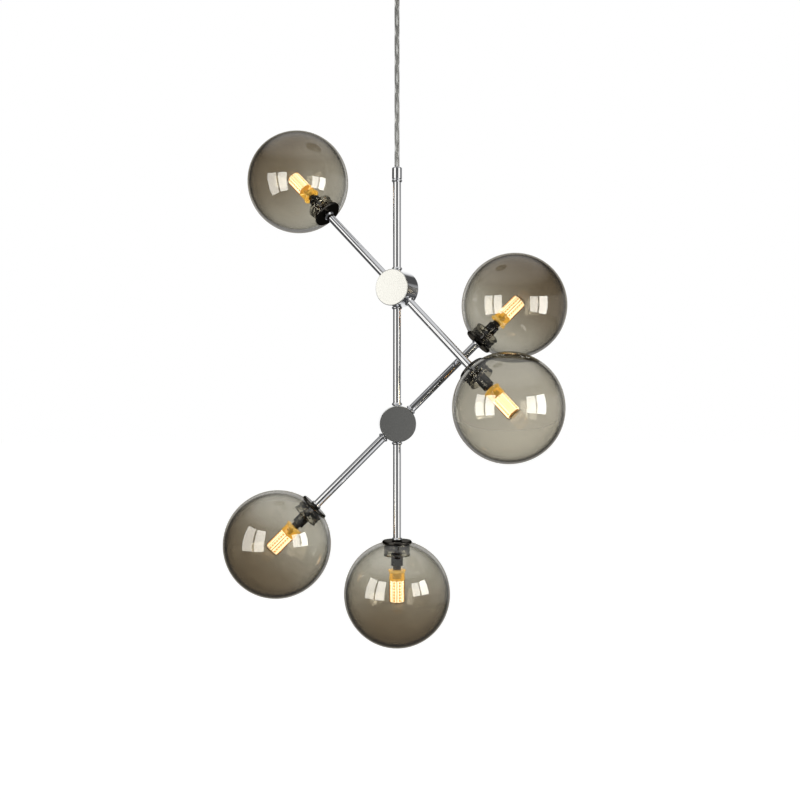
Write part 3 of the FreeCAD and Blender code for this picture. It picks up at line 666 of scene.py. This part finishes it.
def cover_outline():
    ending = LAMP_END - COVER_ROUNDING
    outside = [(BASE_RADIUS, BASE_END + 0.1 * MM), (BASE_RADIUS, ending)]
    dome = [(BASE_RADIUS - COVER_ROUNDING + COVER_ROUNDING * math.cos(step * math.pi / 16),
             ending + COVER_ROUNDING * math.sin(step * math.pi / 16)) for step in range(1, 9)]
    inside = [(max(0, radius - COVER_WALL), min(height, LAMP_END - COVER_WALL))
              for radius, height in reversed(outside + dome)]
    return outside + dome + [(0, LAMP_END), (0, LAMP_END - COVER_WALL)] + inside


def core_outline():
    """CORE_RADIUS is to the core's flat sides, so its corners lie a little further out."""
    corner = CORE_RADIUS / math.cos(math.pi / STRIPS)
    return eased([(0, CORE_START), (corner, CORE_START), (corner, CORE_END), (0, CORE_END)], 0.3 * MM)


def pins_mesh(name):
    shape = bmesh.new()
    for side in (-1, 1):
        middle = Matrix.Translation((side * PIN_SPREAD, 0, LAMP_START + PIN_LENGTH / 2))
        bmesh.ops.create_cone(shape, cap_ends=True, segments=16, radius1=PIN_RADIUS,
                              radius2=PIN_RADIUS, depth=PIN_LENGTH, matrix=middle)
    mesh = bpy.data.meshes.new(name)
    shape.to_mesh(mesh)
    shape.free()
    return mesh


# %% Lamps in place
for light in LIGHTS:
    body, place = BODIES[light]["lamp"], PLACES[light]
    pieces = [
        ("cover", turned_mesh(f"{light}_lamp_cover", cover_outline(), 64), CLEAR_COVER),
        ("base", turned_mesh(f"{light}_lamp_base", base_outline(), 64), BASE_PAINTED_GLOW),
        ("board", blocks_mesh(f"{light}_lamp_board", board_blocks(), 0.2 * MM), BASE_BITS),
        ("core", turned_mesh(f"{light}_lamp_core", core_outline(), STRIPS), CORE_PAINTED_GLOW),
        ("strips", blocks_mesh(f"{light}_lamp_strips", strip_blocks(), 0.15 * MM), STRIP_GLOW),
        ("chips", blocks_mesh(f"{light}_lamp_chips", chip_blocks(), 0.12 * MM), CHIP_GLOW),
        ("pins", pins_mesh(f"{light}_lamp_pins"), TINNED_COPPER),
    ]
    for word, mesh, material in pieces:
        nodes = (f"{light}_lamp",) if word == "cover" else ()
        place_piece(f"{light}_lamp_{word}", mesh, place, body, material, "lamp_plastic", *nodes)
print("lamps", len(LIGHTS), "of", len(pieces), "parts")

# %% [markdown]
# ## The hanging cable
#
# The cable is clear PVC over two tinned cores that twist slowly about each other. The whole light
# hangs from it, so it is dead straight: a curve of two points is the truest shape. Its route is the
# same as the CAD solid's, from inside the canopy to inside the stem's cap.

# %% Cable
CABLE_TOP = -20.0 * MM
CABLE_BOTTOM = -248.4 * MM
CABLE_RADIUS = 2.6 * MM
CORE_OFFSET = 1.15 * MM
CORE_WIDTH = 0.85 * MM
TWIST_LENGTH = 60 * MM


def curve_piece(name, points, radius, order, material):
    """A smooth round cord along points."""
    curve = bpy.data.curves.new(name, "CURVE")
    curve.dimensions = "3D"
    curve.bevel_depth = radius
    curve.bevel_resolution = 8
    curve.use_fill_caps = True
    spline = curve.splines.new("NURBS")
    spline.points.add(len(points) - 1)
    for point, where in zip(spline.points, points):
        point.co = (*where, 1)
    spline.order_u = order
    spline.use_endpoint_u = True
    curve.materials.append(material)
    piece = bpy.data.objects.new(name, curve)
    bpy.context.scene.collection.objects.link(piece)
    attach(piece, "ceiling_mount")
    return piece


cable = curve_piece("cable_sheath", [(0, 0, CABLE_TOP), (0, 0, CABLE_BOTTOM)], CABLE_RADIUS, 2,
                    CABLE_PVC)
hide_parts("cable")
turns = (CABLE_TOP - CABLE_BOTTOM) / TWIST_LENGTH
count = round(turns * 12)
for side in (0, 1):
    route = []
    for step in range(count + 1):
        angle = math.tau * turns * step / count + math.pi * side
        route.append((CORE_OFFSET * math.cos(angle), CORE_OFFSET * math.sin(angle),
                      CABLE_TOP + (CABLE_BOTTOM - CABLE_TOP) * step / count))
    core = curve_piece(f"cable_core_{side + 1}", route, CORE_WIDTH, 3, TINNED_COPPER)
print("cable length mm", round((CABLE_TOP - CABLE_BOTTOM) / MM, 1))

# %% [markdown]
# ## The camera
#
# The photograph was taken from the level of the lower globes, about a metre in front. Its lens is
# worked out from the object itself: the five globes have one size, so how large each looks gives
# its distance. The picture is 800 by 800, and the camera looks straight along +Y.

# %% Camera
PICTURE = 800
FOCAL_PIXELS = 939
SENSOR_MM = 36
CAMERA_PLACE = (3.1 * MM, -972 * MM, -472.5 * MM)

camera = bpy.data.objects.new("camera", bpy.data.cameras.new("camera"))
bpy.context.scene.collection.objects.link(camera)
camera.data.sensor_width = SENSOR_MM
camera.data.lens = SENSOR_MM * FOCAL_PIXELS / PICTURE
camera.location = CAMERA_PLACE
camera.rotation_euler = (math.pi / 2, 0, 0)
bpy.context.scene.camera = camera
print("lens mm", round(camera.data.lens, 2))

# %% [markdown]
# ## Lamps, cards and the room
#
# The studio has two large soft lights in front, left and right, each split in two by a bar. As
# lamps they light the object at a plain level. What glass and chrome show of them is a bright
# rectangle, so a white card stands in each lamp's place for reflections alone. Clear glass gives
# back only a few hundredths of the light, so the card is strong in it, and only its middle shows.
# Chrome gives back most, so there the whole tall card is a plain white.
# Seen from behind, straight through a globe, a card is not there at all.

# %% Studio lights
BOX_DISTANCE = 900 * MM
BOX_CENTRE_UP = -395 * MM
# Each panel: its middle direction from straight in front, in degrees to the right, its width and
# height in mm, and how bright its reflection in glass is.
PANELS = {"left_outer": (-60, 330, 640, 7), "left_inner": (-36, 310, 640, 9),
          "right_inner": (42, 260, 440, 9), "right_outer": (62, 280, 440, 13)}
LAMP_RADIANCE = 2.0
IN_CHROME = 1.5
CARD_HEIGHT = 1000 * MM


def card_white(name, in_glass, glass_height):
    """A card: plain white where chrome mirrors it, and its middle bright where smooth glass does."""
    material, tree, output = new_material(name)
    where = add_node(tree, "ShaderNodeTexCoord")
    axes = add_node(tree, "ShaderNodeSeparateXYZ", {"Vector": where.outputs["Object"]})
    off_middle = add_node(tree, "ShaderNodeMath", {0: axes.outputs["Y"]}, operation="ABSOLUTE")
    inside = add_node(tree, "ShaderNodeMath", {
        0: off_middle.outputs[0], 1: glass_height / 2}, operation="LESS_THAN")
    bright = add_node(tree, "ShaderNodeMath", {
        0: inside.outputs[0], 1: in_glass}, operation="MULTIPLY")
    path = add_node(tree, "ShaderNodeLightPath")
    level = add_node(tree, "ShaderNodeMix", {
        "Factor": path.outputs["Is Singular Ray"], "A": IN_CHROME, "B": bright.outputs[0]},
        data_type="FLOAT")
    mirrors = add_node(tree, "ShaderNodeMath", {
        0: path.outputs["Glossy Depth"], 1: path.outputs["Diffuse Depth"]}, operation="SUBTRACT")
    mirrored = add_node(tree, "ShaderNodeMath", {
        0: mirrors.outputs[0], 1: 0.5}, operation="GREATER_THAN")
    shine = add_node(tree, "ShaderNodeEmission", {
        "Color": linear("#fffdf8"), "Strength": level.outputs["Result"]})
    gone = add_node(tree, "ShaderNodeBsdfTransparent")
    show(tree, output, add_node(tree, "ShaderNodeMixShader", {
        0: mirrored.outputs[0], 1: gone.outputs[0], 2: shine.outputs[0]}))
    return material


for word, (direction, width_mm, height_mm, card_radiance) in PANELS.items():
    turn = math.radians(direction)
    where = Vector((math.sin(turn) * BOX_DISTANCE, -math.cos(turn) * BOX_DISTANCE, BOX_CENTRE_UP))
    away = Vector((where.x, where.y, 0))
    facing = away.to_track_quat("Z", "Y").to_matrix().to_4x4()
    lamp = bpy.data.lights.new(f"softbox_{word}", "AREA")
    lamp.shape = "RECTANGLE"
    lamp.size = width_mm * MM
    lamp.size_y = height_mm * MM
    lamp.energy = LAMP_RADIANCE * math.pi * lamp.size * lamp.size_y
    light = bpy.data.objects.new(f"softbox_{word}", lamp)
    card_mesh = bpy.data.meshes.new(f"card_{word}")
    half, tall = width_mm * MM / 2, CARD_HEIGHT / 2
    card_mesh.from_pydata([(-half, -tall, 0), (half, -tall, 0), (half, tall, 0), (-half, tall, 0)],
                          [], [(0, 1, 2, 3)])
    card_mesh.materials.append(card_white(f"white_card_{word}", card_radiance, height_mm * MM))
    card = bpy.data.objects.new(f"card_{word}", card_mesh)
    for thing in (light, card):
        bpy.context.scene.collection.objects.link(thing)
        thing.matrix_world = Matrix.Translation(where) @ facing
        thing.visible_camera = False
    light.visible_glossy = False
    light.visible_transmission = False
    card.visible_diffuse = False
    card.visible_shadow = False
print("panels", len(PANELS))

# %% [markdown]
# ## The room
#
# The room is a world shader, so it differs only by direction. Seen straight, or through glass, it is
# the white backdrop. Mirrored in chrome it is dim in front, grey on the right and light overhead,
# which is what gives chrome its dark lines. A white card low on the right shows only in chrome: it
# lights the tubes that lean that way, and glass has no round spot from it.

# %% Room
AMBIENT = 0.55
ROOM_DIM = 0.09
ROOM_GREY = 0.36
CEILING = 0.8
LOW_CARD = 0.9
LOW_CARD_WAY = (0.55, -0.60, -0.58)

world = bpy.data.worlds.new("studio_room")
bpy.context.scene.world = world
world.use_nodes = True
room = world.node_tree
room.nodes.clear()
where = add_node(room, "ShaderNodeTexCoord")
way = add_node(room, "ShaderNodeSeparateXYZ", {"Vector": where.outputs["Generated"]})


def ramp(value, start, end, low, high):
    """A soft step from low to high, as value goes from start to end."""
    return add_node(room, "ShaderNodeMapRange", {
        "Value": value, "From Min": start, "From Max": end, "To Min": low, "To Max": high},
        interpolation_type="SMOOTHSTEP").outputs["Result"]


def combine(first, second, operation):
    """Two values joined by one operation, such as ADD or MULTIPLY."""
    return add_node(room, "ShaderNodeMath", {0: first, 1: second}, operation=operation).outputs[0]


backdrop = ramp(way.outputs["Y"], 0.74, 0.90, 0.0, 1.0)
ceiling = ramp(way.outputs["Z"], 0.50, 0.90, 0.0, CEILING)
level = combine(ramp(way.outputs["Z"], -0.35, -0.18, 0.0, 1.0),
                ramp(way.outputs["Z"], 0.18, 0.35, 1.0, 0.0), "MULTIPLY")
right_wall = combine(ramp(way.outputs["X"], 0.05, 0.5, ROOM_DIM, ROOM_GREY), level, "MULTIPLY")
towards = add_node(room, "ShaderNodeVectorMath", {
    0: where.outputs["Generated"], 1: LOW_CARD_WAY}, operation="DOT_PRODUCT")
path = add_node(room, "ShaderNodeLightPath")
hazy = combine(1.0, path.outputs["Is Singular Ray"], "SUBTRACT")
low_card = combine(ramp(towards.outputs["Value"], 0.84, 0.92, 0.0, LOW_CARD), hazy, "MULTIPLY")
seen_in_chrome = ROOM_DIM
for part in (backdrop, ceiling, right_wall, low_card):
    seen_in_chrome = combine(part, seen_in_chrome, "MAXIMUM")
through = path.outputs["Is Transmission Ray"]
bounces = combine(path.outputs["Glossy Depth"], path.outputs["Diffuse Depth"], "ADD")
bounced = combine(bounces, 0.5, "GREATER_THAN")
straight = combine(1.0, bounced, "SUBTRACT")
looked_at = combine(path.outputs["Is Camera Ray"], through, "MAXIMUM")
white = combine(looked_at, straight, "MULTIPLY")
through_bounced = combine(through, bounced, "MULTIPLY")
mirrored = combine(path.outputs["Is Glossy Ray"], through_bounced, "MAXIMUM")
soft = add_node(room, "ShaderNodeMix", {
    "Factor": mirrored, "A": AMBIENT, "B": seen_in_chrome}, data_type="FLOAT").outputs["Result"]
strength = add_node(room, "ShaderNodeMix", {"Factor": white, "A": soft, "B": 1.0},
                    data_type="FLOAT").outputs["Result"]
background = add_node(room, "ShaderNodeBackground", {
    "Color": linear("#ffffff"), "Strength": strength})
add_node(room, "ShaderNodeOutputWorld", {"Surface": background.outputs[0]})
print("room", ROOM_DIM, ROOM_GREY)

# %% [markdown]
# ## The floor
#
# A pale floor lies below the lowest globe and takes its soft shadow. It is a wide sheet of matt
# white paper. A little white of its own brings it up to the white of the backdrop. Mirror rays pass
# it by, so that chrome shows the dim room below instead of a bright floor.

# %% Floor
FLOOR_DROP = 330 * MM
FLOOR_REACH = 12.0
FLOOR_LIFT = 0.52


def floor_paper():
    material, tree, output = new_material("matt_white_paper")
    fibres = grain(tree, 3.0)
    paper = add_node(tree, "ShaderNodeBsdfPrincipled", {
        "Base Color": linear("#f4f4f2"),
        "Roughness": spread(tree, fibres.outputs["Fac"], 0.85, 1.0), "Specular IOR Level": 0.1})
    path = add_node(tree, "ShaderNodeLightPath")
    seen = add_node(tree, "ShaderNodeMath", {
        0: path.outputs["Is Camera Ray"], 1: path.outputs["Is Transmission Ray"]}, operation="MAXIMUM")
    lift = add_node(tree, "ShaderNodeMath", {0: seen.outputs[0], 1: FLOOR_LIFT}, operation="MULTIPLY")
    white = add_node(tree, "ShaderNodeEmission", {"Strength": lift.outputs[0]})
    bright = add_node(tree, "ShaderNodeAddShader", {0: paper.outputs[0], 1: white.outputs[0]})
    dim = add_node(tree, "ShaderNodeEmission", {"Strength": ROOM_DIM})
    mirrored = add_node(tree, "ShaderNodeMath", {
        0: path.outputs["Glossy Depth"], 1: 0.5}, operation="GREATER_THAN")
    show(tree, output, add_node(tree, "ShaderNodeMixShader", {
        0: mirrored.outputs[0], 1: bright.outputs[0], 2: dim.outputs[0]}))
    return material


floor_up = cad_box[0][2] - FLOOR_DROP
floor_mesh = bpy.data.meshes.new("floor")
floor_mesh.from_pydata([(x * FLOOR_REACH, y * FLOOR_REACH, floor_up) for x, y in (
    (-1, -1), (1, -1), (1, 1), (-1, 1))], [], [(0, 1, 2, 3)])
floor_mesh.materials.append(floor_paper())
floor = bpy.data.objects.new("floor", floor_mesh)
bpy.context.scene.collection.objects.link(floor)
floor.visible_glossy = False
bpy.context.scene.view_settings.view_transform = "Standard"
print("floor at mm", round(floor_up / MM))
